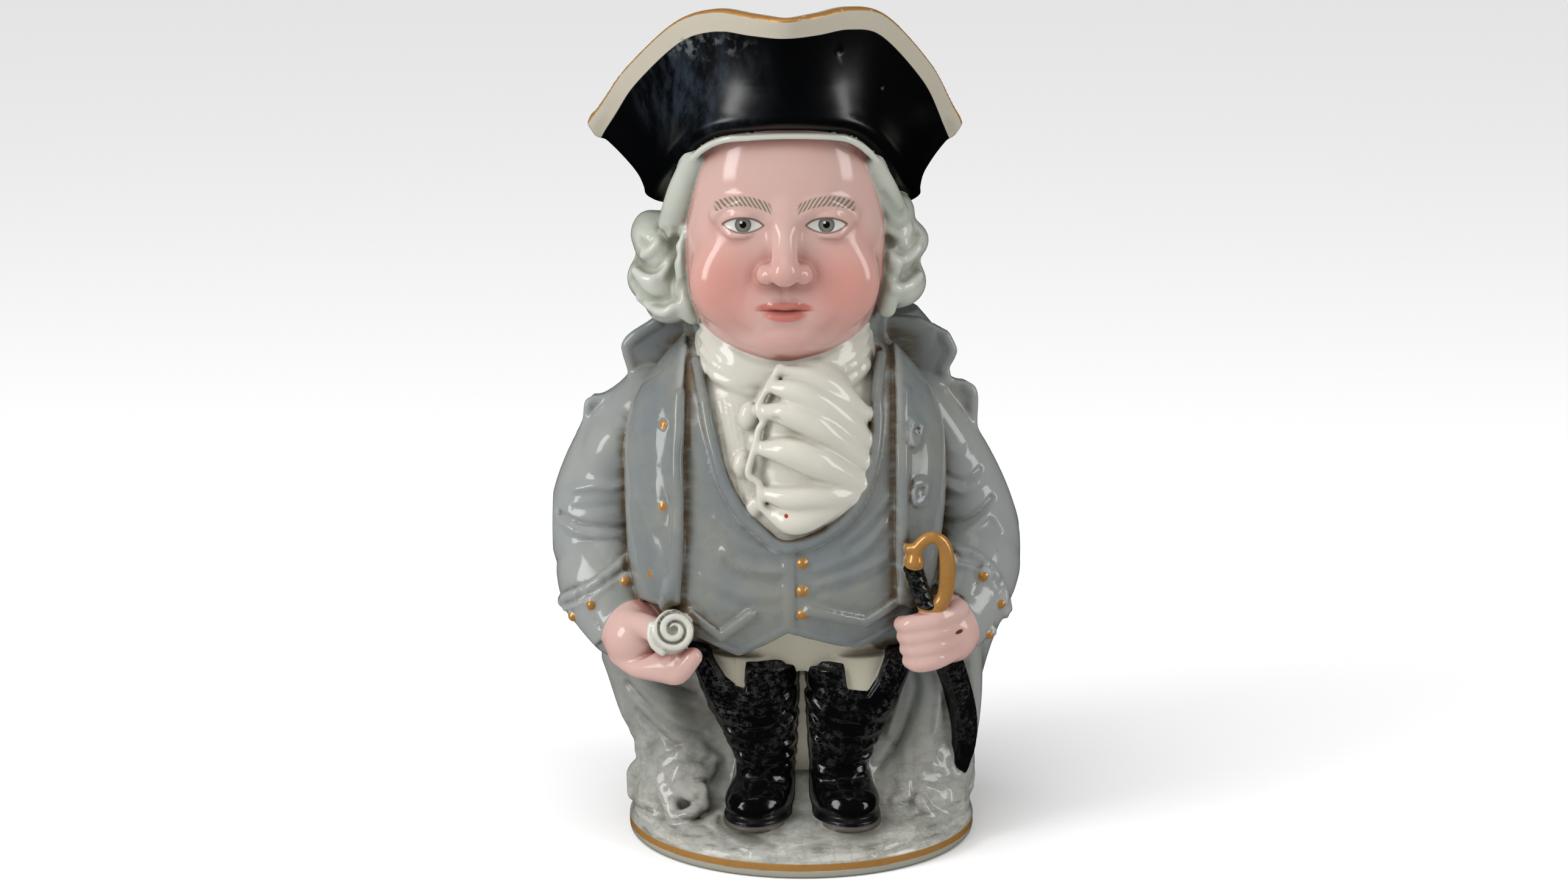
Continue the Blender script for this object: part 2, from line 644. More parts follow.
def neck_cloth(linen):
    rows = [
        [98, -22.5, 15, -25, 6],
        [104, -22.8, 15.4, -25.6, 6],
        [109, -22.2, 14.8, -25, 6],
        [114, -21.8, 14.4, -21.6, 6],
        [118, -21, 13.6, -19, 6],
    ]
    linen.join(ovals(rows, 2.2), 1)
    wraps = [[[-17.9, 103.4], [-13.8, 101.8], [-10.1, 100.9]], [[7, 100.6], [9.8, 102.1], [13.2, 104.7]]]
    for n in range(5):
        half = [
            [16.8, 116.4 - 2.7 * n], [13.4, 111.4 - 2 * n], [8.6, 107.6 - 1.2 * n], [3.6, 106 - 0.7 * n]
        ]
        wraps.append([[MIDDLE - a, z] for a, z in half] + [[MIDDLE + a, z] for a, z in half[::-1]])
    lines = [linen.front(spline(wrap, 4)) for wrap in wraps]
    for line in lines:
        linen.join(stroke([[x, y + 0.25, z, 0.9] for x, y, z in line], 2), 0.9)
    raise_band(linen, [[-14.6, 98], [-13.4, 88], [-11, 80]], 2.4, 0.01, 0.5)

    def pleats(axes):
        x, _, z = grid(axes)
        return 0.22 * np.sin((x + 0.16 * z) * 5.6) * ease((100 - z) / 2)

    linen.swell(pleats, [-20, -40, 76], [-11, -5, 100])
    linen.join(ball([1.4, -25.4, 90], [12, 7.4, 18]), 1.5)
    linen.join(ball([1.6, -27, 82], [11, 6.6, 9]), 2)
    folds = [
        [[-4.5, -28.6, 106.2, 1], [1.7, -29, 104.8, 1.7], [6.3, -27.8, 101.9, 2], [12.4, -25.4, 96.6, 1.6]],
        [
            [-5.7, -30.6, 103.2, 1.1], [-1.4, -31.6, 102.4, 2.1], [3.2, -30.8, 99.9, 2.5],
            [7.9, -29, 96.2, 2.5], [12.6, -26.6, 91, 1.8],
        ],
        [
            [-7.8, -31, 98.4, 1.1], [-2.9, -32.8, 98.2, 2.1], [1.7, -32.4, 96, 2.6],
            [5.4, -31.2, 93.2, 2.6], [12, -28, 87, 1.9],
        ],
        [
            [-8.4, -31.8, 90.8, 1.2], [-2.6, -33.9, 90.6, 2.4], [2.3, -33.5, 88.6, 2.8],
            [6.3, -32, 86.2, 2.6], [11.4, -29.6, 82.8, 1.8],
        ],
        [
            [-7.8, -32.6, 81.6, 1.1], [-2.6, -34.4, 81, 1.9], [1.7, -34.2, 81.2, 2.1], [6, -32.8, 81, 2],
            [10, -30.8, 80.4, 1.4],
        ],
        [
            [-6.6, -32.4, 78, 1], [-2.9, -34, 76.2, 2.1], [0.2, -34, 76.4, 2.3], [4, -32.8, 77.6, 1.9],
            [7.6, -31.4, 79, 1.3],
        ],
    ]
    for fold in folds:
        linen.join(stroke([[x, y + 0.5, z, r * 1.22] for x, y, z, r in fold], 6), 1.1)
    edge = [
        [-4.5, 107.1], [-6.3, 104.3], [-7.9, 101.4], [-9.1, 98.9], [-7.9, 96.4], [-8.8, 94.8],
        [-9.4, 92.3], [-10.1, 89.7], [-11, 85.6], [-8.8, 83.7], [-8.5, 79.5], [-7, 77.6], [-3.6, 74.4],
    ]
    depth = np.interp([z for _, z in edge], [74, 82, 92, 100, 107], [-33.2, -32.4, -31.6, -30.4, -28.4])
    linen.join(stroke([[x, y, z, 0.8] for (x, z), y in zip(edge, depth)], 5), 0.8)
    for x, y, z, size in ((-10.9, -28.6, 97, 1), (-12.2, -29.2, 87, 0.95), (-9.8, -31, 78.4, 0.8)):
        linen.join(ball([x, y, z], [2.2 * size, 1.9 * size, 3.1 * size], (0, 10, 0)), 0.7)
    linen.cut(ball([-5.6, -34, 96.9], [1.4, 1.6, 1]), 0.8)


BOOT_TOP = [
    [-26, 46],
    [-24, 45.2],
    [-19.6, 44.3],
    [-18.3, 41.5],
    [-16, 38.2],
    [-12, 35.9],
    [-11.6, 41.9],
    [-0.7, 41.7],
    [-0.4, 40.2],
    [0.2, 40.2],
    [0.6, 41.3],
    [8.6, 41.3],
    [9.3, 35.8],
    [13.8, 35.3],
    [16, 38.6],
    [18, 44.2],
    [24.6, 43.6],
]


def boots(black, breeches):
    gap = 0.1
    rows = [
        [9, 8.6, 6.8, 7], [14, 8.2, 6.6, 7], [19, 7.9, 6.2, 6.6], [24, 8.6, 7.4, 7.4], [28.5, 9.6, 8.6, 8],
        [33, 10.6, 9.8, 8.6], [37.5, 11.4, 10.6, 9], [42, 12, 11.6, 9.4], [46, 12.4, 12, 9.6],
    ]

    def leg(side, inset, top):
        rings = []
        for z, out, hx, hy in rows:
            x = gap + side * out
            rings.append([z, x - hx + inset, x + hx - inset, -14.5 - hy + inset, -14.5 + hy])
        made = Field([-27, -40, 4], [27, 10, 52]).join(ovals(rings, 2.5))
        over = [[x, z + top] for x, z in BOOT_TOP] + [[40, 44 + top], [40, 70], [-40, 70], [-40, 46 + top]]
        return made.cut(plate(over, -60, 20), 0.3)

    for side in (-1, 1):
        shell = leg(side, 0, 0)
        shell.d = merged(shell, leg(side, 1.1, 1.2), 0)
        black.d[...] = merged(black, shell, 0.3)
        toe = gap + side * 9.4
        black.join(ball([toe, -19.6, 12.4], [6.8, 9, 4.8], (6, 0, side * 12)), 1.6)
        black.join(ball([toe, -20, 9.6], [7.1, 9.6, 1.3], (0, 0, side * 12)), 0.5)
        breeches.join(ball([toe, -20.2, 8.4], [7.1, 9.8, 1.2], (0, 0, side * 12)), 0.4)
        crease(black, [[toe - 5.6, 12.6], [toe - 3, 15], [toe + 1, 15.6], [toe + 4.6, 14.2]], 0.5, 0.5, -16)
    wrinkles = [
        ([[-17.3, 33], [-13.9, 32.8], [-9.6, 33.4], [-4.9, 35], [-1.5, 36.8]], 0.9),
        ([[-15.6, 28.6], [-10.9, 27.4], [-5.4, 28.5], [-1.3, 31.4]], 1.1),
        ([[-16.4, 36.6], [-12.6, 38], [-7, 37.4]], 0.4),
        ([[-14, 25.6], [-8.4, 24.9], [-4.9, 24.9], [-1.5, 26.1]], 0.9),
        ([[-13.4, 23], [-7.5, 21.9], [-1.5, 22.9]], 1),
        ([[-13.2, 19.4], [-8.8, 19], [-4.4, 19.9], [-1.8, 20.4]], 0.8),
        ([[-12.6, 16.6], [-8.8, 17.6], [-4.9, 18.2]], 0.6),
        ([[-12, 30.4], [-8, 30.6], [-4, 33]], 0.5),
        ([[1, 36], [5.3, 33.2], [11.2, 31.9], [16, 32.6]], 1),
        ([[1.7, 32], [4.9, 28.2], [9.6, 25.4], [15.6, 26]], 1.1),
        ([[2.6, 27], [6.6, 23.2], [11.7, 22], [15, 23]], 1.1),
        ([[2.2, 38.4], [6, 36.8], [9, 36.4]], 0.4),
        ([[3.6, 19.8], [8.3, 18.8], [13.4, 19.8]], 0.9),
        ([[6, 30], [11, 28.4], [17, 29.2]], 0.5),
        ([[4.6, 16.6], [8.6, 17.4], [12.6, 17.2]], 0.6),
    ]
    for line, depth in wrinkles:
        crease(black, line, depth * 0.85, 0.95, -8)

    def rough(axes):
        return 0.14 * ripple(axes, (9, 9, 5), 9, 2) * window(grid(axes)[2], 14, 3, 38, 4)

    black.swell(rough, [-26, -40, 12], [26, 10, 48])


def arms(cloth, skin, gilt):
    sleeves = [
        [
            [-31, 3, 93, 8.5], [-38, 3, 83, 10.2], [-42.6, 1, 70, 10.9], [-42.4, -3, 61, 9.6],
            [-38.6, -10, 53, 7.4],
        ],
        [[24, 3, 92, 8], [31, 2, 80, 9.4], [36, 0, 68, 9.8], [36.8, -6, 60, 9.2], [33.8, -14, 54, 8]],
    ]
    cuffs = [
        [[-42.4, -5.6, 58.4, 9.6], [-41.2, -7.8, 55.4, 9.7], [-37.6, -13, 49, 7.8]],
        [[36.6, -7, 60, 9.6], [35.4, -10.5, 57, 9.2], [31.6, -18, 51.5, 7.2]],
    ]
    cuff_tops = [
        [[-50.4, 53.4], [-49.3, 55.2], [-44.5, 58], [-40.2, 60.9], [-36, 63.4], [-33, 64.6]],
        [[27.6, 65.4], [30.3, 65.6], [35, 65.1], [38.4, 63.1], [40.8, 60], [42.4, 56], [43.4, 51]],
    ]
    cuff_ends = [
        [[-32, 58], [-34.2, 54.5], [-35.9, 52.7], [-41.4, 47.8], [-43.4, 45], [-49.6, 50.6]],
        [
            [42.6, 47.6], [39, 42.6], [36.6, 45], [35.8, 50.2], [34.8, 54.2], [33.1, 57.3], [30.5, 58.4],
            [27, 59],
        ],
    ]
    for sleeve in sleeves:
        cloth.join(stroke(sleeve, 8), 1.2)
    cloth.join(ball([-39.6, -4, 84.4], [5.4, 5, 6], (0, 20, 0)), 3)
    for line, lift in (
        ([[-48, 76.6], [-43.4, 77.5], [-39.6, 77.1], [-36.2, 77.9]], 1.1),
        ([[-48, 72.2], [-42.7, 73], [-37, 73.4]], -0.5),
        ([[-49.5, 63.6], [-44.8, 63.3], [-38.8, 64.2]], 0.8),
        ([[30, 77.2], [34, 76], [37.4, 77.8]], 0.9),
        ([[32.4, 66.4], [37, 69.6], [40, 71.4], [42.6, 68]], 0.8),
        ([[31, 85], [33.6, 83.6], [35, 84.6]], 0.4),
    ):
        raise_band(cloth, line, 0.3, lift * 1.3, 1.5, 0)
    for line, depth in (
        ([[-51, 70.9], [-46.9, 69.6], [-42.7, 69.1], [-36.2, 68.4]], 1.3),
        ([[-49.6, 66.6], [-44.8, 65.9], [-38, 66.6]], 0.5),
        ([[29.4, 79.9], [33.1, 78.4], [35.2, 78.8], [37.4, 80.4]], 1),
        ([[30, 69.4], [34, 70.2], [37.4, 72.2], [40, 74.4]], 1.3),
    ):
        crease(cloth, line, depth * 1.15, 1.1, 0)
    for cuff in cuffs:
        cloth.join(stroke(cuff, 6), 0.5)
    for top, end in zip(cuff_tops, cuff_ends):
        raise_area(cloth, spline(top, 4).tolist() + end, 1.0, 0.4, 0)
        for drop, size in ((0.2, 1.15), (2.6, 0.55)):
            line = cloth.front([[x, z - drop] for x, z in spline(top, 4)])
            line = line[line[:, 1] < -5.3]
            cloth.join(stroke([[x, y + 0.2, z, size] for x, y, z in line], 2), 0.5)
    for slit in ([[-43.2, 51.6], [-41.8, 49.8]], [[36.4, 59.6], [35.9, 58]]):
        raise_band(cloth, slit, 0.15, -0.7, 0.35, 0, 0)
    cuff_buttons = [[-36.9, 59.1], [-44, 54.4], [-48.1, 50.8]]
    cuff_buttons += [[37.7, 61], [41.4, 54.8], [38.9, 48.6], [30.6, 63.4]]
    for p in cloth.front(cuff_buttons):
        cloth.join(ball(p + [0.4, 0.3, 0.6], [BUTTON + 0.2, 0.8, BUTTON + 0.2]), 0.5)
        gilt.join(ball(p + [0, -0.2, 0], [BUTTON * 0.8] * 3))
    skin.join(ball([-34.4, -19, 48], [7.4, 7.6, 7.4], (0, 24, 0)))
    thumb = [
        [-36, -22.6, 52, 2.4], [-31.8, -26.6, 51.8, 2.6], [-29.6, -29.4, 50.6, 2.1], [-29, -30.6, 49, 1.7],
    ]
    skin.join(stroke(thumb, 6), 1)
    for n in range(4):
        finger = [
            [-38 + n * 3.2, -20.6 - n * 1.6, 44 - n * 0.7, 2.4],
            [-33.4 + n * 2.6, -25.4 - n * 1.6, 42.6 + n * 0.1, 2.3],
            [-29.4 + n * 2.3, -27.6 - n * 1.4, 44.8 + n * 0.7, 2],
        ]
        skin.join(stroke(finger, 6), 0.6)
    skin.join(ball([30.6, -22, 50.4], [6.4, 7, 7.4], (0, -10, 0)))
    for n in range(4):
        finger = [
            [32.4 - n * 0.5, -26, 55.4 - n * 3, 2.2], [27.4, -30, 54.4 - n * 2.8, 2.3],
            [22.6 + n * 0.5, -30.4, 53.4 - n * 2.7, 2.1], [20.6 + n * 0.6, -28.6, 53 - n * 2.6, 1.8],
        ]
        skin.join(stroke(finger, 6), 0.45)


def hat_ring(part, out):
    brow = spline(BROW_LINE, 10, closed=True)
    brim = spline(BRIM_LINE, 10, closed=True)
    ring = brow + (brim - brow) * part
    along = np.roll(ring, -1, 0) - np.roll(ring, 1, 0)
    along = along[:, :2] / np.linalg.norm(along[:, :2], axis=1)[:, None]
    ring[:, 0] += along[:, 1] * out
    ring[:, 1] -= along[:, 0] * out
    return ring


def hat(black):
    profile = [[0, -2.5], [0.015, 0.4], [0.06, 1.7], [0.12, 2], [0.2, 1], [0.4, -0.5], [0.7, -0.8], [1, 0]]
    rings = [hat_ring(part, out) for part, out in spline(profile, 4)]
    for turn in np.radians([30, 60, 90, 120, 150]):
        ring = hat_ring(1, -BRIM / 2 * (1 - math.cos(turn)))
        ring[:, 2] += BRIM * 0.2 * math.sin(turn)
        rings.append(ring)
    rings.append(hat_ring(1, -BRIM))
    rings.append(hat_ring(CROWN_PART, -WALL))
    black.join(loft(rings))
    for tip, inward in ((BRIM_LINE[12], 1), (BRIM_LINE[6], -1)):
        x, y, z = tip
        curl = [
            [x + inward * 5, y - 3.4, z + 4, 1], [x + inward * 2.1, y - 0.8, z + 1, 1.9],
            [x + inward * 2.5, y + 0.4, z - 1.2, 1.8],
        ]
        black.join(stroke(curl, 6), 1)
    chips = [[-24.2, 171.9], [-22.6, 172.3], [-26.4, 169.8], [7.4, 171.2], [16.2, 162.8]]
    for x, y, z in black.front(chips):
        black.cut(ball([x, y, z], [0.9, 0.5, 0.5], (0, -20, 0)), 0.3)


def hollow():
    mouth = hat_ring(1, -BRIM)
    crown = hat_ring(CROWN_PART, -WALL)
    turn = np.arctan2(mouth[:, 1], mouth[:, 0] - MIDDLE + 0.4)
    rings = []
    rows = [r for r in CORE if FLOOR < r[0] < 145 and r[0] != 30]
    rows.insert(0, [FLOOR, *[v * 0.9 for v in CORE[0][1:]]])
    for z, left, right, front, back in spline(rows, 3):
        hx, hy = (right - left) / 2 - WALL, (back - front) / 2 - WALL
        reach = (np.abs(np.cos(turn) / hx) ** 2.3 + np.abs(np.sin(turn) / hy) ** 2.3) ** (-1 / 2.3)
        x = (left + right) / 2 + np.cos(turn) * reach
        y = (front + back) / 2 + np.sin(turn) * reach
        rings.append(np.column_stack([x, y, np.full(len(turn), z)]))
    above = mouth.copy()
    above[:, 2] += 12
    return loft(rings + [crown, mouth, above])


HAIRLINE, CHIN = 155.6, 108.6
THIRD = (HAIRLINE - CHIN) / 3
BROW = HAIRLINE - THIRD
NOSE = HAIRLINE - 2 * THIRD
MOUTH = NOSE - THIRD / 3
EYES = BROW - THIRD / 4
EYE = 8.4


def head(skin):
    rows = [
        [105.6, -8, 0.8, -16, 5],
        [107.6, -14.6, 7.4, -24, 5],
        [111, -18.8, 11.6, -27.8, 5],
        [117, -22.4, 15.2, -28.8, 5],
        [126, -24.2, 17, -29.2, 5],
        [138, -23.9, 16.7, -29.2, 5],
        [148, -22.9, 15.7, -29.2, 5],
        [158, -20, 12.8, -26.5, 5],
    ]
    skin.join(ovals(rows, 2.1))
    for side in (-1, 1):
        x = MIDDLE + side * EYE
        skin.cut(ball([x, -32.4, EYES + 0.6], [6.2, 4, 4]), 2.6)
        brow = [
            [MIDDLE + side * 3.4, -28.6, BROW - 1.8, 0.9], [x, -28.2, BROW + 0.5, 1.2],
            [MIDDLE + side * 14, -25.4, BROW - 2.2, 0.9],
        ]
        skin.join(stroke(brow, 6), 2.4)
        skin.join(ball([x, -23.8, EYES], [4.7, 4.5, 4.5]), 0.5)
        upper = [[-4.2, -25.8, 0], [-2.4, -27.8, 1.7], [0, -28.6, 2.3], [2.5, -27.7, 1.9], [4.5, -25.4, 0.2]]
        lower = [[-4, -26, -0.5], [-2.1, -27.6, -1.6], [0, -28.2, -1.9], [2.4, -27.5, -1.7]]
        lower.append([4.3, -25.6, -0.4])
        for lid, size in ((upper, 0.85), (lower, 0.65)):
            skin.join(stroke([[x + side * a, y, EYES + b, size] for a, y, b in lid], 6), 0.5)
        fold = [[x + side * a, EYES + b] for a, b in ((-4.4, 1.6), (-1, 4), (2.6, 3.6), (5, 1.6))]
        raise_band(skin, fold, 0.1, -0.4, 0.6, -14)
    bridge = [
        [MIDDLE, -28, BROW - 1.2, 2.3], [MIDDLE, -29.2, EYES - 1.4, 2.3], [MIDDLE, -31.6, NOSE + 5.4, 2.7],
        [MIDDLE, -33.2, NOSE + 3.2, 3.1],
    ]
    skin.join(stroke(bridge, 8), 2.4)
    for side in (-1, 1):
        skin.join(ball([MIDDLE + side * 3.6, -30.6, NOSE + 2.3], [2.2, 2.8, 2.1]), 1.2)
        skin.cut(ball([MIDDLE + side * 1.9, -32.4, NOSE + 0.1], [1, 1.5, 0.8]), 0.5)
        skin.join(ball([MIDDLE + side * 12, -24.2, NOSE - 0.5], [7, 4.8, 8]), 5)
        furrow = [
            [MIDDLE + side * 5.6, NOSE + 3], [MIDDLE + side * 7.8, NOSE - 2],
            [MIDDLE + side * 8.2, MOUTH - 1.4],
        ]
        raise_band(skin, furrow, 0.1, -0.3, 1.6, -14)
    skin.join(ball([MIDDLE, -27.4, MOUTH], [8.4, 2.4, 5]), 3)
    raise_band(skin, [[MIDDLE, NOSE - 0.6], [MIDDLE, MOUTH + 2]], 0.3, -0.4, 0.7, -20, 0)
    upper = [
        [-5.4, -28.2, 0.3, 0.4], [-2.2, -30, 1.1, 0.95], [0, -30.3, 0.8, 0.9], [2.2, -30, 1.1, 0.95],
        [5.4, -28.2, 0.3, 0.4],
    ]
    lower = [
        [-4.6, -28.3, -0.8, 0.5], [-2, -29.8, -1.5, 1.1], [2, -29.8, -1.5, 1.1], [4.6, -28.3, -0.8, 0.5]
    ]
    for lip in (upper, lower):
        skin.join(stroke([[MIDDLE + a, y, MOUTH + b, r] for a, y, b, r in lip], 6), 0.5)
    between = [[-5.6, 0.1], [-2, -0.1], [0, -0.35], [2, -0.1], [5.6, 0.1]]
    raise_band(skin, [[MIDDLE + a, MOUTH + b] for a, b in between], 0.05, -0.9, 0.45, -20)
    skin.join(ball([MIDDLE, -25.4, CHIN + 4.4], [6, 4, 4]), 3)
    dip = [[MIDDLE - 3.4, MOUTH - 4.4], [MIDDLE, MOUTH - 4], [MIDDLE + 3.4, MOUTH - 4.4]]
    raise_band(skin, dip, 0.2, -0.5, 1.2, -20)


def wig(hair):
    hair.join(ball([-4.4, 3, 126], [26.4, 24.5, 22]))
    hair.join(ball([-4, 10, 116], [22, 18.6, 12]), 3)

    def waves(axes):
        x, y, z = grid(axes)
        return 0.7 * np.sin(z * 1.15 + 0.9 * np.sin(x * 0.22)) * ease((y - 6) / 8) * ease((136 - z) / 6)

    hair.swell(waves, [-40, 4, 100], [34, 34, 138])
    hair.join(ball([-28.4, -3.4, 123.6], [6.4, 10, 10]), 3)
    hair.join(ball([19.4, -3.6, 126.4], [5, 10, 11]), 3)
    locks = [
        [[-29.4, -3, 129], [6.6, 10, 5], (0, 28, 0)],
        [[-29.6, -4, 120.6], [6.9, 11, 5.4], (0, 12, 0)],
        [[-26.6, -5, 116.6], [6, 11, 4.4], (0, -20, 0)],
        [[-31.6, -1, 132], [2.8, 5, 2.4], (0, 20, 0)],
        [[18.3, -5, 135], [5, 10, 4.6], (0, -20, 0)],
        [[20.4, -3, 128.6], [6, 10.5, 4.6], (0, -8, 0)],
        [[19.6, -4, 120.4], [6.3, 11, 5.4], (0, 0, 0)],
    ]
    for centre, radii, degrees in locks:
        hair.join(ball(centre, radii, degrees), 1.6)
    strands = [
        [[-21.6, -19.6, 148.6, 2.6], [-24.4, -16.4, 141, 3.2], [-26.2, -12.6, 134, 3.4]],
        [[-23.8, -15.6, 133, 1.3], [-24.6, -15.8, 128, 1.7], [-24.2, -15.6, 123.4, 1.8]],
        [[-24.2, -14.4, 121, 2.2], [-23.8, -14.4, 117, 2.4], [-22.6, -14, 114.8, 1.8]],
        [[14.2, -19.8, 147.4, 2.2], [16.6, -16.4, 141.6, 2.8], [18.6, -13, 137, 2.8]],
        [[18.4, -14.4, 128, 1.6], [18.4, -14.6, 122, 2], [17.4, -14.4, 116.6, 2]],
    ]
    for strand in strands:
        hair.join(stroke(strand, 6), 1.2)
    grooves = [
        [[-25.9, 133], [-26.4, 128], [-28.8, 125.1], [-31.6, 124.3], [-35, 125.4]],
        [[-25, 122], [-26.3, 119], [-28.2, 117.6], [-31, 118.2], [-33.5, 119.6], [-36, 122.4]],
        [[-28.2, 132.6], [-30.2, 130.6], [-32.2, 129.4], [-33.6, 130]],
        [[-23.4, 131], [-23.6, 126], [-23.2, 120]],
        [[16.2, 141], [18.1, 138.3], [19.7, 136.4], [21.4, 136.4]],
        [[17.6, 130.4], [19.7, 128.7], [21.6, 128.5], [23.2, 129.8], [24, 132]],
        [[17.6, 124.4], [20.4, 122.9], [22, 123.4], [23.4, 124.2], [25, 126]],
    ]
    for groove in grooves:
        line = hair.front(spline(groove, 4))
        line[:, 1] -= 0.3
        hair.cut(stroke([[*p, 0.45] for p in line], 2), 1.6)
    ridges = [
        [[-28.9, 131.2], [-30.8, 128.6], [-32.8, 127]],
        [[-26.9, 126.6], [-29, 123.2], [-32, 122.6], [-34.6, 123.6]],
        [[-26.6, 117], [-28.6, 115.7], [-31.2, 116.2], [-33.6, 117.9]],
        [[16.4, 134.2], [18.3, 132.3], [20, 131.5], [21.9, 132.6]],
        [[18.3, 127], [20, 126.4], [22.2, 127], [24, 128.6]],
        [[18.6, 121], [20.6, 120.8], [22.8, 121.6], [24.4, 122.6]],
    ]
    for ridge in ridges:
        hair.join(stroke([[*p, 0.7] for p in hair.front(spline(ridge, 4))], 2), 1.3)
    edge = [[x, y - 0.3, z - 0.9, 0.75] for x, y, z in BROW_LINE[14:] + BROW_LINE[:5]]
    hair.join(stroke(edge, 5), 0.6)


def heaps(cloth):
    cloth.join(ball([-27, -6, 9], [9, 9, 9]), 3)
    cloth.join(ball([28, -5, 8], [8, 9, 7]), 3)
    ribbons = [
        [
            [-30, -9, 15, 1.9], [-28.3, -11.5, 17.2, 1.9], [-25.7, -12.5, 19.5, 2], [-21.8, -12, 20, 1.9],
            [-17.9, -11, 18.1, 1.4],
        ],
        [
            [-29.5, -11, 10, 1.6], [-27.9, -13.5, 14.3, 1.8], [-25.3, -15, 17, 1.9],
            [-20.5, -14.5, 16.1, 1.8], [-18.8, -12, 17.9, 1.2],
        ],
        [
            [-26.5, -15.5, 14.4, 1.6], [-23.5, -17.5, 12.1, 1.7], [-21.3, -17.5, 13.5, 1.5],
            [-20.9, -18, 10.3, 1.6],
        ],
        [
            [-20.9, -18, 10.3, 1.6], [-23.9, -19.5, 8.5, 1.8], [-27, -18.5, 8, 1.9],
            [-28.4, -15.5, 11.6, 1.6],
        ],
        [[-34, -4, 17.7, 2.2], [-31.5, -7, 22, 2.2], [-27, -9, 22.5, 1.8]],
        [[-35.5, -2, 8, 2.4], [-34.6, -5, 14, 2.4], [-32, -8, 12, 2], [-31, -13, 7, 2]],
        [
            [17.5, -10, 15.2, 1.4], [21.8, -13, 13.4, 1.6], [22.3, -15, 11.1, 1.5], [19.7, -16, 10.2, 1.3],
            [21, -17.5, 7.9, 1.5],
        ],
        [
            [24.4, -13.5, 12.4, 1.5], [28.4, -13, 11.1, 1.7], [30.1, -13, 6.5, 1.6], [27.1, -16, 7.4, 1.5],
            [24.9, -15.5, 10.6, 1.3],
        ],
        [[24, -10, 15, 1.6], [29, -9, 15.5, 2], [33, -5, 13, 2.2], [34.5, -2, 9, 2.2]],
        [[30, -8, 17.5, 1.8], [34, -4, 17.7, 2.2], [35.6, 0, 13, 2.2], [34.8, -3, 9, 2]],
    ]
    falls = [
        [[-36, -4.5, 46, 4], [-31.5, -6, 34, 4.6], [-26, -7.6, 24, 4.6], [-21, -9, 12, 4]],
        [[-39, 0, 38, 4], [-34, -2, 27, 4.4], [-29, -5, 16, 4]],
        [[25, -7, 46, 4], [25.6, -7, 34, 4.4], [24.6, -8, 22, 4.2], [22, -9, 11, 3.6]],
        [[33, -1, 46, 4.4], [34, -1, 30, 4.6], [33, -2, 16, 4.4]],
    ]
    for fold in falls:
        cloth.join(stroke(fold, 6), 5)
    valley = [[23.1, 39.6], [24.4, 34.2], [22.7, 27.5], [20.6, 22], [16.3, 16.6]]
    raise_band(cloth, valley, 0.3, -1.6, 1.6, 0)
    for line in (
        [[-37, 34], [-29, 27.5], [-21, 23.5]], [[-39, 40], [-30, 35], [-22, 32]],
        [[-35, 28], [-28, 22.5], [-21, 18]],
    ):
        crease(cloth, line, 0.7, 1.3, 0)
    for line in ([[28.6, 44], [29.6, 34], [28.6, 24]], [[21, 40], [20.6, 32], [18.4, 24]]):
        raise_band(cloth, line, 0.3, 0.9, 1.3, 0)
    cloth.join(ball([-25.4, -8, 12], [8, 9, 9]), 2)
    cloth.join(ball([26.4, -6, 8.4], [8.6, 8.6, 7]), 2)
    for ribbon in ribbons:
        cloth.join(stroke([[x, y + 0.3, z, r * 0.95] for x, y, z, r in ribbon], 6), 0.9)

    def crumple(axes):
        x, _, z = grid(axes)
        return 0.22 * ripple(axes, (8, 10, 8), 21, 1) * ease((np.abs(x) - 17) / 4) * window(z, 6, 3, 24, 4)

    cloth.swell(crumple, [-40, -30, 5], [40, 2, 26])
    streaks = [
        ([[-17.3, 8], [-11.7, 7.1], [-5.4, 6]], -0.6),
        ([[-24.4, 8], [-20.2, 7.1], [-11.7, 4.7]], -0.5),
        ([[-3, 6], [1, 6.1], [6.1, 6.4]], -0.5),
        ([[4.4, 4.5], [9.5, 4.9], [16.2, 5.4]], -0.4),
        ([[-3.7, 8.2], [1, 8.7], [5.3, 9.4]], 0.5),
        ([[15.5, 4.2], [21.4, 4.9], [24.8, 5.6]], -0.4),
        ([[-14, 4.6], [-8, 3.9], [-2, 3.9]], -0.4),
        ([[17, 8], [21, 7.4], [26, 8]], -0.4),
    ]
    for line, lift in streaks:
        raise_band(cloth, line, 0.2, lift * 1.5, 0.7, -15)


def handle(cloth):
    reach, root = 27, 29
    rows = [
        [root - 6, 140], [root + reach * 0.42, 147], [root + reach * 0.86, 142], [root + reach, 126],
        [root + reach * 0.9, 106], [root + reach * 0.58, 88], [root, 76],
    ]
    cloth.join(stroke([[-4, y, z, 3.7] for y, z in rows], 8, (3.7 / 5.4, 1, 1)), 1.5)


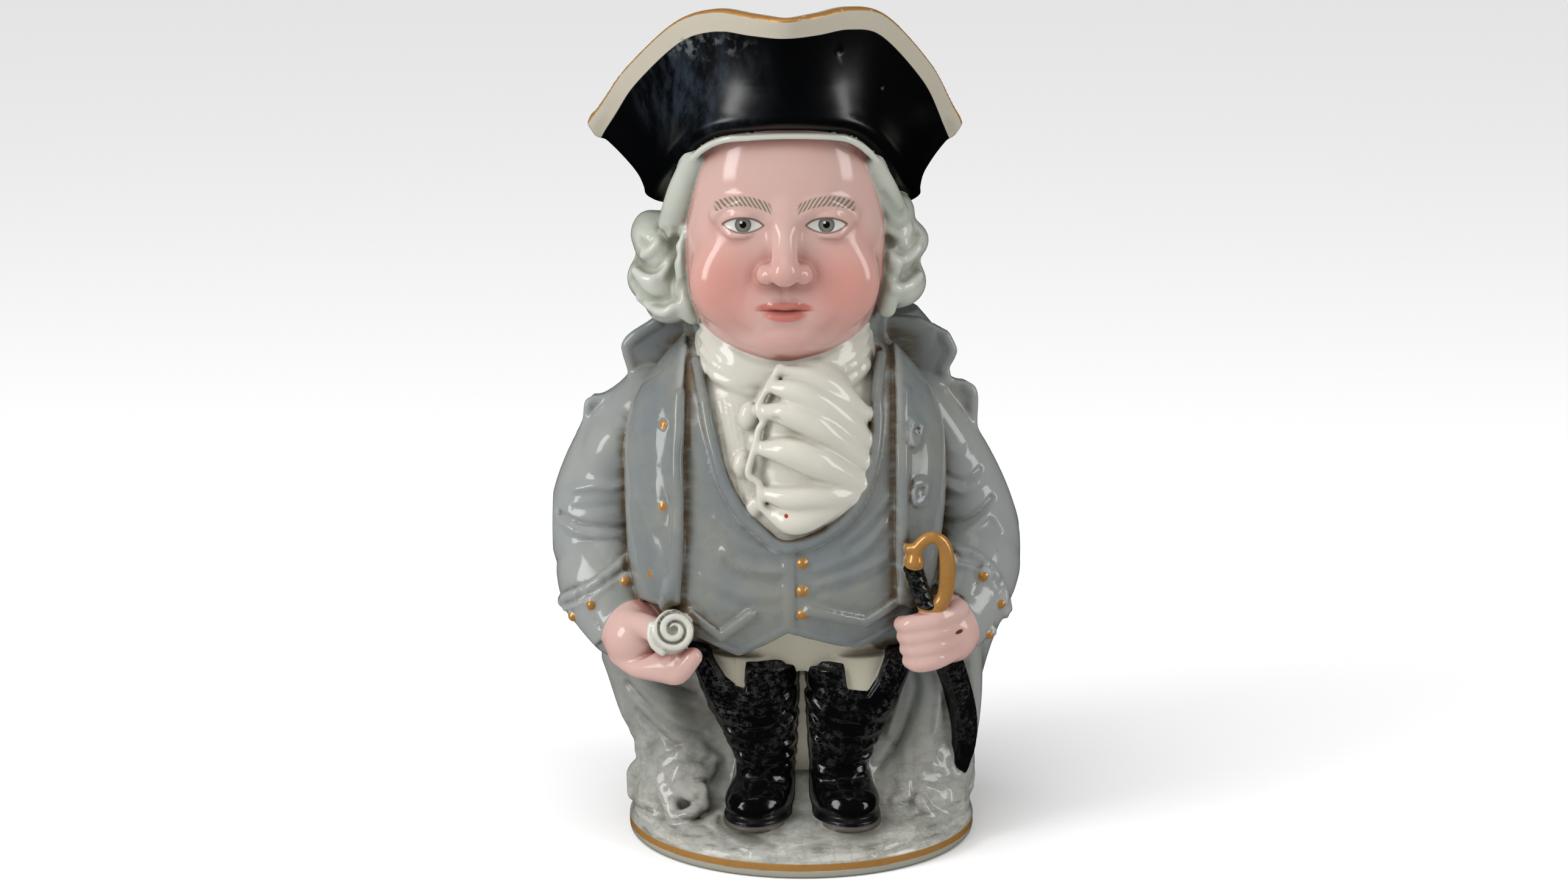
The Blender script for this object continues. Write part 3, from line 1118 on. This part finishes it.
def sword(gilt, black):
    bow = [
        [22.8, -30.4, 66.6, 1.3],
        [23.8, -31, 70.2, 1.3],
        [26.4, -31.4, 72.2, 1.3],
        [29, -31, 70.4, 1.4],
        [29.8, -30.6, 65, 1.7],
        [29.2, -30, 59.4, 1.6],
        [26.8, -29.8, 56.2, 1.6],
        [25, -29.8, 57.4, 1.5],
    ]
    gilt.join(stroke(bow, 8))
    gilt.join(ball([23, -30.2, 66.8], [2, 2.4, 1.9]), 0.6)
    gilt.join(ball([22, -30.6, 69.6], [1.1, 1.2, 1.1]), 0.6)
    for n in range(5):
        x, z = 23 + n * 0.55, 64.8 - n * 1.75
        black.join(ball([x, -30, z], [2.3, 2.2, 1.15], (0, 18, 0)), 0.3)
    black.join(stroke([[22.9, -29.8, 66, 1.7], [24.6, -29.4, 60, 1.7], [26.4, -27.6, 54, 1.6]], 6))
    scabbard = [
        [29.8, -13, 44, 3], [32.4, -9.5, 36, 3], [34.6, -6.6, 27, 2.9], [34.8, -6, 20, 2.6],
        [33.6, -6, 14, 1.8],
    ]
    black.join(stroke(scabbard, 6))


def scroll(paper):
    way = np.array([0.14, -0.9, 0.4])
    way /= np.linalg.norm(way)
    end = np.array([-26.2, -33.4, 53.2])
    side = np.cross(way, [0, 0, 1])
    side /= np.linalg.norm(side)
    up = np.cross(side, way)
    pitch, groove, deep, long = 1.95, 0.26, 1.5, 9

    def coil(axes):
        g = [v - e for v, e in zip(grid(axes), end)]
        u = sum(g[i] * side[i] for i in range(3))
        v = sum(g[i] * up[i] for i in range(3))
        w = sum(g[i] * way[i] for i in range(3))
        r = np.sqrt(u**2 + v**2)
        turn = np.arctan2(v, u) / (2 * np.pi)
        place = r / pitch - turn + 0.35
        gap = np.abs(place - np.round(place)) * pitch
        edge = np.clip(0.6 - np.abs(w), 0, 0.6) * 0.25
        tube = np.maximum(np.maximum(r - SCROLL, w), -w - long)
        slot = np.minimum(gap - groove - edge, r - 0.9)
        return np.maximum(tube, np.minimum(-slot, w + deep)).astype(np.float32)

    paper.join((coil, end - 12, end + 8))
    tongue = [[-4.5, 1.4], [-4.9, -0.6], [-4.3, -2.8], [-2.6, -4.4]]
    paper.join(stroke([[*(end - way * 1.4 + side * -a + up * b), 0.8] for a, b in tongue], 6), 0.4)


def buttons(gilt):
    places = [[-28.4, 93.8], [-28.6, 77.6], [-31, 63.2]]
    for p in vest_front(places, COAT):
        gilt.join(ball(p, [BUTTON * 0.55, BUTTON * 0.8, BUTTON], (0, 0, 40)))
    for p in vest_front([[0, 67.2], [0, 61.4], [0, 56.4]], 0.1):
        gilt.join(ball(p, [BUTTON * 0.85, 0.9, BUTTON * 0.85]))


# Everything joined, coloured and made into a mesh

groups = {
    "cloth": Field(),
    "linen": Field([-30, -42, 60], [25, 10, 120]),
    "breeches": Field([-30, -38, 4], [28, 10, 60]),
    "boots": Field([-28, -41, 3], [30, 12, 54]),
    "skin": Field([-50, -43, 34], [45, 10, 162]),
    "hair": Field([-42, -34, 98], [34, 34, 162]),
    "hat": Field([-50, -43, 125], [40, 38, 185]),
    "gilt": Field([-55, -43, 42], [50, 10, 100]),
    "dark": Field([18, -40, 8], [45, 10, 75]),
    "paper": Field([-42, -43, 36], [-16, -10, 66]),
}


def build():
    """Every part joined, hollowed, and kept inside the plain solid's own box."""
    g = groups
    body(g["cloth"])
    collar_flaps(g["cloth"])
    heaps(g["cloth"])
    arms(g["cloth"], g["skin"], g["gilt"])
    torso(g["cloth"], g["linen"], g["breeches"])
    neck_cloth(g["linen"])
    boots(g["boots"], g["breeches"])
    head(g["skin"])
    wig(g["hair"])
    hat(g["hat"])
    sword(g["gilt"], g["dark"])
    scroll(g["paper"])
    buttons(g["gilt"])
    handle(g["cloth"])
    g["cloth"].swell(lambda axes: 0.16 * ripple(axes, (15, 15, 24), 4, 1), LOW + 9, HIGH - 40)
    whole = Field()
    for part in g.values():
        whole.d[...] = merged(whole, part, 0.5)
    whole.cut(hollow(), 0.6)
    low, high = (np.array(corner) * 1000 for corner in bounds_before)
    for i, place in enumerate(grid(whole.axes)):
        np.maximum(whole.d, np.maximum(low[i] - place, place - high[i]).astype(np.float32), out=whole.d)
    return whole


def main_piece(count, triangles, quads):
    """Only the faces that hang together with the largest number of points."""
    label = np.arange(count)
    runs = [triangles[:, :2], triangles[:, 1:], quads[:, :2], quads[:, 1:3], quads[:, 2:]]
    pairs = np.vstack(runs).astype(int)
    while True:
        low = np.minimum(label[pairs[:, 0]], label[pairs[:, 1]])
        before = label.copy()
        np.minimum.at(label, pairs[:, 0], low)
        np.minimum.at(label, pairs[:, 1], low)
        label = label[label]
        if np.array_equal(before, label):
            break
    main = np.bincount(label).argmax()
    return triangles[label[triangles[:, 0]] == main], quads[label[quads[:, 0]] == main]


def to_mesh(whole):
    volume = vdb.FloatGrid()
    volume.background = FAR
    volume.copyFromArray(whole.d)
    points, triangles, quads = volume.convertToPolygons(0.0, 0.0)
    points = points * STEP + LOW
    triangles, quads = main_piece(len(points), triangles, quads)
    mesh = bpy.data.meshes.new("jug_skin")
    faces = triangles.tolist() + quads.tolist()
    mesh.from_pydata((points / 1000).tolist(), [], faces)
    rough = bpy.data.objects.new("rough", mesh)
    bpy.context.scene.collection.objects.link(rough)
    count = len(triangles) + 2 * len(quads)
    print("surface triangles", count)
    if count > MOST_FACES:
        thin = rough.modifiers.new("thin", "DECIMATE")
        thin.ratio = MOST_FACES / count
    ready = bpy.data.meshes.new_from_object(rough.evaluated_get(bpy.context.evaluated_depsgraph_get()))
    bpy.data.objects.remove(rough)
    return ready


def curve_distance(points, curve):
    """Distance from a closed run of points."""
    best = np.full(len(points), 1e9)
    for a, b in zip(curve, np.roll(curve, -1, axis=0)):
        way = b - a
        h = np.clip((points - a) @ way / max(way @ way, 1e-9), 0, 1)
        best = np.minimum(best, ((points - a - h[:, None] * way) ** 2).sum(1))
    return np.sqrt(best)


def slope(field, points, reach=0.45):
    """The way out of the surface at each point."""
    out = np.empty_like(points)
    for i in range(3):
        step = np.eye(3)[i] * reach
        out[:, i] = field.at(points + step) - field.at(points - step)
    return out / np.maximum(np.linalg.norm(out, axis=1), 1e-9)[:, None]


def mark(name, values):
    mesh.attributes.new(name, "FLOAT", "POINT").data.foreach_set("value", np.asarray(values, np.float32))


whole = build()
mesh = to_mesh(whole)
flat = np.empty(len(mesh.vertices) * 3)
mesh.vertices.foreach_get("co", flat)
points = flat.reshape(-1, 3) * 1000
names = list(groups)
distance = np.array([groups[n].at(points) for n in names])
nearness = {}
for i, name in enumerate(names):
    nearness[name] = np.delete(distance, i, axis=0).min(axis=0) - distance[i]
    mark("is_" + name, nearness[name])
inside = 0.7 - np.abs(Field().join(hollow()).at(points))
lip = hat_ring(1, -0.5)
lip[:, 2] += 0.5
mark("is_inside", inside)
mark("is_binding", np.minimum(nearness["hat"], BINDING - curve_distance(points, hat_ring(1, 0))))
mark("is_rim", 0.75 - curve_distance(points, lip))
out = slope(whole, points)
mark("crevice", CREVICE_REACH - whole.at(points + out * CREVICE_REACH))
mark("hollowed", HOLLOW_REACH - whole.at(points + out * HOLLOW_REACH))
mark("edge", whole.at(points - out * EDGE_REACH) + EDGE_REACH)
for polygon in mesh.polygons:
    polygon.use_smooth = True
mesh.normals_split_custom_set_from_vertices(out.tolist())
jug = bpy.data.objects.new("jug_porcelain", mesh)
bpy.context.scene.collection.objects.link(jug)

# Glaze


class Paint:
    """A short way to write a material's nodes."""

    def __init__(self, name):
        self.material = bpy.data.materials.new(name)
        self.material.use_nodes = True
        self.tree = self.material.node_tree
        self.shader = self.tree.nodes["Principled BSDF"]

    def node(self, kind, **inputs):
        made = self.tree.nodes.new(kind)
        for key, value in inputs.items():
            self.put(made.inputs[key], value)
        return made

    def put(self, socket, value):
        if isinstance(value, bpy.types.NodeSocket):
            self.tree.links.new(value, socket)
        else:
            socket.default_value = value

    def attribute(self, name):
        made = self.tree.nodes.new("ShaderNodeAttribute")
        made.attribute_name = name
        return made.outputs["Fac"]

    def math(self, operation, *values):
        made = self.tree.nodes.new("ShaderNodeMath")
        made.operation = operation
        for socket, value in zip(made.inputs, values):
            self.put(socket, value)
        return made.outputs[0]

    def step(self, value, low, high):
        made = self.tree.nodes.new("ShaderNodeMapRange")
        made.interpolation_type = "SMOOTHSTEP"
        self.put(made.inputs["Value"], value)
        made.inputs["From Min"].default_value = low
        made.inputs["From Max"].default_value = high
        return made.outputs["Result"]

    def blend(self, factor, a, b):
        made = self.tree.nodes.new("ShaderNodeMix")
        made.data_type = "RGBA"
        self.put(made.inputs[0], factor)
        self.put(made.inputs[6], a)
        self.put(made.inputs[7], b)
        return made.outputs[2]


DEPTH_OF_TONE = 0.56


def srgb(r, g, b):
    """The paint that looks like a colour from 0 to 255 in the full light of the room."""
    linear = [((v / 255 + 0.055) / 1.055) ** 2.4 if v > 10 else v / 255 / 12.92 for v in (r, g, b)]
    return (*[DEPTH_OF_TONE * v for v in linear], 1.0)


COLOURS = {
    "linen": srgb(226, 222, 210),
    "breeches": srgb(206, 200, 180),
    "boots": srgb(10, 10, 12),
    "skin": srgb(224, 188, 178),
    "hair": srgb(205, 208, 196),
    "hat": srgb(6, 7, 10),
    "gilt": srgb(214, 158, 88),
    "dark": srgb(13, 13, 15),
    "paper": srgb(222, 221, 210),
    "binding": srgb(206, 198, 180),
    "inside": srgb(214, 211, 200),
}
DIRT = srgb(104, 84, 56)


class Glaze(Paint):
    """The painted colours, in the object's own millimetres."""

    def __init__(self, name):
        super().__init__(name)
        place = self.tree.nodes.new("ShaderNodeTexCoord").outputs["Object"]
        scaled = self.node("ShaderNodeVectorMath")
        scaled.operation = "SCALE"
        self.put(scaled.inputs[0], place)
        scaled.inputs["Scale"].default_value = 1000
        self.place = scaled.outputs[0]
        split = self.node("ShaderNodeSeparateXYZ", Vector=self.place)
        self.x, self.y, self.z = split.outputs

    def noise(self, size, detail=3.0, squash=(1, 1, 1), rough=0.55):
        """Cloudy noise from 0 to 1 whose patches are about the given size."""
        held = self.node("ShaderNodeVectorMath")
        held.operation = "MULTIPLY"
        self.put(held.inputs[0], self.place)
        held.inputs[1].default_value = [1 / (size * v) for v in squash]
        made = self.node(
            "ShaderNodeTexNoise", Vector=held.outputs[0], Scale=1.0, Detail=detail, Roughness=rough
        )
        return made.outputs[0]

    def times(self, *values):
        out = values[0]
        for value in values[1:]:
            out = self.math("MULTIPLY", out, value)
        return out

    def near(self, x, z, rx, rz, soft=0.15, slant=0.0):
        """1 inside an ellipse seen from the front, 0 outside. slant leans its upper side over."""
        u = self.math("SUBTRACT", self.x, x)
        v = self.math("SUBTRACT", self.z, z)
        u = self.math("SUBTRACT", u, self.times(v, slant))
        u = self.math("DIVIDE", u, rx)
        v = self.math("DIVIDE", v, rz)
        far = self.math("SQRT", self.math("ADD", self.times(u, u), self.times(v, v)))
        return self.step(far, 1 + soft, 1 - soft)

    def tint(self, colour, tone, *factors):
        """A colour with a tone laid over it, by the product of the factors."""
        return self.blend(self.times(*factors), colour, tone)

    def front_only(self, depth=-15.0):
        return self.step(self.y, depth, depth - 3)


def face(paint, colour, skin):
    """Cheeks, lips, eyes and brows."""
    ahead = paint.times(paint.front_only(), skin)
    flush = srgb(222, 142, 128)
    for side in (-1, 1):
        cheek = paint.near(MIDDLE + side * 12.6, NOSE - 1, 7, 8, 0.85)
        colour = paint.tint(colour, flush, cheek, ahead, 0.62)
    for x, z, rx, rz, strength in ((0, NOSE + 3, 4.2, 3.6, 0.3), (0, CHIN + 4, 6, 4, 0.25)):
        colour = paint.tint(colour, flush, paint.near(MIDDLE + x, z, rx, rz, 0.8), ahead, strength)
    lips = paint.math(
        "MAXIMUM",
        paint.near(MIDDLE - 2.1, MOUTH + 0.7, 3.3, 1.05, 0.25, 0.8),
        paint.near(MIDDLE + 2.1, MOUTH + 0.7, 3.3, 1.05, 0.25, -0.8),
    )
    lips = paint.math("MAXIMUM", lips, paint.near(MIDDLE, MOUTH - 0.8, 4.2, 1.5, 0.25))
    colour = paint.tint(colour, srgb(204, 102, 90), lips, ahead, 0.75)
    seam = paint.near(MIDDLE, MOUTH - 0.1, 5, 0.26, 0.5)
    colour = paint.tint(colour, srgb(120, 48, 44), seam, ahead, 0.8)
    for side in (-1, 1):
        x = MIDDLE + side * EYE
        opening = paint.near(x, EYES - 2.2, 4.9, 3.7, 0.05)
        opening = paint.times(opening, paint.near(x, EYES + 2.2, 4.9, 3.5, 0.05))
        rim = paint.near(x, EYES - 1.9, 5.2, 3.8, 0.05)
        rim = paint.times(rim, paint.near(x, EYES + 2.1, 5.2, 3.65, 0.05))
        colour = paint.tint(colour, srgb(120, 88, 70), rim, ahead)
        colour = paint.tint(colour, srgb(232, 230, 222), opening, ahead)
        seen = paint.times(opening, ahead)
        for size, tone in ((1.65, srgb(84, 80, 74)), (1.4, srgb(128, 130, 124)), (0.7, srgb(22, 20, 20))):
            colour = paint.tint(colour, tone, paint.near(x, EYES + 0.2, size, size, 0.1), seen)
        glint = paint.near(x - 0.4, EYES + 0.7, 0.28, 0.28, 0.2)
        colour = paint.tint(colour, srgb(240, 240, 236), glint, seen)
        u = paint.math("SUBTRACT", paint.x, x)
        v = paint.math("SUBTRACT", paint.z, BROW + 1.2)
        bow = paint.math("ADD", v, paint.times(u, u, 0.05))
        line = paint.step(paint.math("ABSOLUTE", bow), 1.15, 0.75)
        line = paint.times(line, paint.step(paint.math("ABSOLUTE", u), 6.2, 5.2))
        wander = paint.times(paint.noise(2.5, 2), 3.0)
        slant = paint.math("ADD", paint.times(u, 6.4), paint.times(bow, -side * 5.0))
        hatch = paint.step(paint.math("SINE", paint.math("ADD", slant, wander)), -0.2, 0.5)
        colour = paint.tint(colour, srgb(190, 176, 160), line, ahead, 0.55)
        colour = paint.tint(colour, srgb(92, 80, 66), line, hatch, ahead, 0.7)
    return colour


def glaze():
    paint = Glaze("porcelain")
    cloudy = paint.noise(14, 4)
    fine = paint.noise(2.2, 4)
    streaky = paint.noise(7, 4, (1, 1, 0.28))
    crevice = paint.attribute("crevice")
    hollowed = paint.attribute("hollowed")
    edge = paint.attribute("edge")
    deep = paint.step(crevice, 0.12, 0.9)
    shade = paint.step(hollowed, 0.5, 2.8)
    ridge = paint.step(edge, 0.1, 0.7)

    cloth = paint.blend(paint.step(cloudy, 0.35, 0.65), srgb(132, 138, 139), srgb(144, 146, 139))
    cloth = paint.tint(cloth, srgb(120, 127, 130), paint.step(fine, 0.45, 0.75), 0.35)
    low = paint.step(paint.z, 44, 8)
    cloth = paint.tint(cloth, srgb(192, 192, 182), low, 0.8)
    beside = paint.step(paint.math("ABSOLUTE", paint.math("ADD", paint.x, 3)), 27, 40)
    cloth = paint.tint(cloth, srgb(182, 185, 182), beside, 0.5)
    swept = paint.noise(3.4, 4, (3, 3, 0.4))
    ground = paint.step(paint.z, 13, 8)
    cloth = paint.tint(cloth, srgb(216, 214, 204), ground, paint.step(swept, 0.5, 0.62), 0.75)
    cloth = paint.tint(cloth, srgb(112, 110, 102), ground, paint.step(swept, 0.44, 0.34), 0.6)
    cloth = paint.tint(cloth, srgb(180, 184, 184), ridge, 0.6)
    cloth = paint.tint(cloth, srgb(112, 106, 92), shade, paint.step(streaky, 0.3, 0.7), 0.55)
    cloth = paint.tint(cloth, DIRT, deep, paint.step(streaky, 0.25, 0.6), paint.step(paint.z, 6, 50), 0.9)
    cloth = paint.tint(cloth, srgb(108, 102, 90), deep, low, 0.6)
    tan = paint.times(paint.step(paint.noise(5, 5), 0.6, 0.78), paint.step(edge, 0.02, 0.3), 0.4)
    cloth = paint.tint(cloth, srgb(170, 146, 108), tan)

    veins = paint.math("ABSOLUTE", paint.math("SUBTRACT", paint.noise(4.5, 4, (1, 1, 0.8), 0.6), 0.5))
    veins = paint.times(paint.step(veins, 0.06, 0), paint.step(paint.z, 34, 20), paint.front_only(-2))
    cloth = paint.tint(cloth, srgb(104, 98, 86), veins, 0.22)
    flecks = paint.times(paint.step(paint.noise(0.9, 2), 0.74, 0.8), 0.6)
    cloth = paint.tint(cloth, srgb(84, 82, 78), flecks)

    colour = cloth
    grain = paint.step(paint.noise(1.3, 6, (1, 1, 0.8), 0.8), 0.47, 0.6)
    worn = paint.times(grain, paint.step(paint.noise(7, 3), 0.4, 0.56), paint.step(paint.z, 13, 30))
    masks = {}
    for name in names[1:]:
        there = paint.step(paint.attribute("is_" + name), -0.12, 0.12)
        masks[name] = there
        tone = COLOURS[name]
        if name in ("linen", "paper", "breeches"):
            tone = paint.tint(tone, srgb(190, 184, 168), shade, 0.25)
            tone = paint.tint(tone, srgb(156, 142, 118), deep, paint.step(streaky, 0.35, 0.7), 0.45)
        if name == "breeches":
            tone = paint.tint(tone, srgb(92, 88, 78), paint.step(paint.z, 24, 12))
        if name == "hair":
            tone = paint.tint(tone, srgb(190, 196, 182), paint.step(cloudy, 0.4, 0.7))
            tone = paint.tint(tone, srgb(228, 230, 222), ridge, 0.6)
            tone = paint.tint(tone, srgb(160, 160, 142), shade, 0.45)
            tone = paint.tint(tone, srgb(134, 132, 112), deep, 0.6)
        if name == "skin":
            tone = paint.tint(tone, srgb(226, 178, 168), paint.step(paint.noise(9, 3), 0.4, 0.7), 0.35)
            tone = paint.tint(tone, srgb(206, 146, 132), shade, 0.4)
            tone = paint.tint(tone, srgb(170, 96, 82), deep, 0.6)
        if name in ("boots", "dark"):
            tone = paint.tint(tone, srgb(104, 104, 100), worn, paint.step(edge, -0.1, 0.4), 0.4)
            tone = paint.tint(tone, srgb(88, 90, 88), worn, 0.32)
        if name == "hat":
            left = paint.near(-24, 165, 13, 11, 0.7)
            ahead = paint.front_only(-2)
            cloud = paint.times(left, ahead, paint.step(paint.noise(5, 6, (1, 1, 1.6), 0.7), 0.4, 0.7))
            tone = paint.tint(tone, srgb(70, 84, 98), cloud, 0.42)
            top = paint.near(-22, 171.5, 9, 2.4, 0.6, 1.2)
            tone = paint.tint(tone, srgb(120, 124, 122), top, ahead, paint.step(fine, 0.5, 0.66), 0.6)
            specks = paint.step(paint.noise(1.1, 2), 0.76, 0.82)
            tone = paint.tint(tone, srgb(92, 88, 82), specks, 0.5)
        colour = paint.tint(colour, tone, there)
    colour = face(paint, colour, masks["skin"])
    spot = paint.times(paint.near(32.4, 51.4, 0.75, 0.5, 0.3, 0.6), paint.front_only(), masks["skin"])
    colour = paint.tint(colour, srgb(96, 60, 42), spot)
    speck = paint.near(-3.3, 77.7, 0.4, 0.4, 0.2)
    colour = paint.tint(colour, srgb(176, 52, 44), speck, paint.front_only())

    inside = paint.step(paint.attribute("is_inside"), -0.1, 0.1)
    colour = paint.tint(colour, COLOURS["inside"], inside)
    binding = paint.step(paint.attribute("is_binding"), -0.1, 0.1)
    colour = paint.tint(colour, COLOURS["binding"], binding)
    kept = paint.step(paint.noise(4, 5, rough=0.7), 0.3, 0.42)
    rim = paint.times(paint.step(paint.attribute("is_rim"), -0.08, 0.08), kept)
    low_line = paint.times(paint.step(paint.z, 1.7, 1.9), paint.step(paint.z, 3.4, 3.2))
    foot = paint.step(paint.z, 1.75, 1.6)
    colour = paint.tint(colour, srgb(176, 174, 160), foot)
    gold = paint.math("MAXIMUM", masks["gilt"], paint.math("MAXIMUM", rim, low_line))
    colour = paint.tint(colour, COLOURS["gilt"], gold)
    rubbed = paint.times(gold, paint.step(paint.noise(1.6, 4), 0.52, 0.7), 0.5)
    colour = paint.tint(colour, srgb(112, 72, 34), rubbed)
    metal = paint.times(gold, paint.step(rubbed, 0.5, 0.1), 0.4)
    rough = 0.09
    for mask, share in ((deep, 0.4), (fine, 0.08), (gold, 0.12), (masks["hat"], 0.16)):
        rough = paint.math("ADD", rough, paint.times(mask, share))
    scuffed = paint.times(worn, paint.math("MAXIMUM", masks["boots"], masks["dark"]), 0.3)
    rough = paint.math("ADD", rough, scuffed)
    paint.put(paint.shader.inputs["Base Color"], colour)
    paint.put(paint.shader.inputs["Metallic"], metal)
    paint.put(paint.shader.inputs["Roughness"], rough)
    paint.shader.inputs["IOR"].default_value = 1.4
    return paint.material


mesh.materials.append(glaze())
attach(jug, "root")
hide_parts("jug")

# Room, light and camera


def room():
    bpy.ops.mesh.primitive_plane_add(size=12, location=(0, 0, 0))
    floor = bpy.context.object
    floor.name = "floor"
    paint = Paint("floor")
    paint.shader.inputs["Base Color"].default_value = (0.9, 0.9, 0.9, 1)
    paint.shader.inputs["Roughness"].default_value = 0.7
    floor.data.materials.append(paint.material)
    floor.visible_glossy = False
    floor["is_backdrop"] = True
    world = bpy.data.worlds.new("studio")
    bpy.context.scene.world = world
    world.cycles_visibility.glossy = False
    world.use_nodes = True
    world.node_tree.nodes["Background"].inputs[0].default_value = (1, 1, 1, 1)
    world.node_tree.nodes["Background"].inputs[1].default_value = ROOM_LIGHT
    for name, place, size, power in (
        ("key", (-0.7, -0.42, 0.38), (0.26, 0.6), 4.8),
        ("fill", (0.78, -0.3, 0.38), (0.26, 0.6), 3.4),
        ("top", (-0.1, -0.1, 0.9), (0.5, 0.4), 0.8),
    ):
        lamp = bpy.data.lights.new(name, "AREA")
        lamp.shape = "RECTANGLE"
        lamp.energy = power
        lamp.size, lamp.size_y = size
        hang(lamp, Vector(place))
    sky = bpy.data.lights.new("sky", "SUN")
    sky.energy = SKY_LIGHT
    sky.angle = math.radians(SKY_SPREAD)
    hang(sky, Vector((-0.35, -0.5, 1.0))).visible_glossy = False


def hang(lamp, place):
    """Puts a lamp in its place, turned to the figure's chest."""
    held = bpy.data.objects.new(lamp.name, lamp)
    held.location = place
    held.rotation_euler = (Vector((0, 0, 0.09)) - place).to_track_quat("-Z", "Y").to_euler()
    bpy.context.scene.collection.objects.link(held)
    held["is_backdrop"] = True
    return held


def camera():
    aim = Vector((-0.00375, 0, 0.0845))
    tilt = math.radians(CAMERA_TILT)
    far = CAMERA_FAR
    lens = bpy.data.cameras.new("camera")
    lens.sensor_width = SENSOR
    lens.lens = SENSOR * FOCAL_PIXELS / PICTURE_PIXELS
    held = bpy.data.objects.new("camera", lens)
    held.location = aim + Vector((0, -math.cos(tilt), math.sin(tilt))) * far
    held.rotation_euler = (aim - held.location).to_track_quat("-Z", "Y").to_euler()
    bpy.context.scene.collection.objects.link(held)
    bpy.context.scene.camera = held


room()
camera()
bpy.context.scene.view_settings.view_transform = "Standard"

bounds_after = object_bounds()
plain = lambda b: [[float(v) for v in corner] for corner in b]
{"before": plain(bounds_before), "after": plain(bounds_after)}
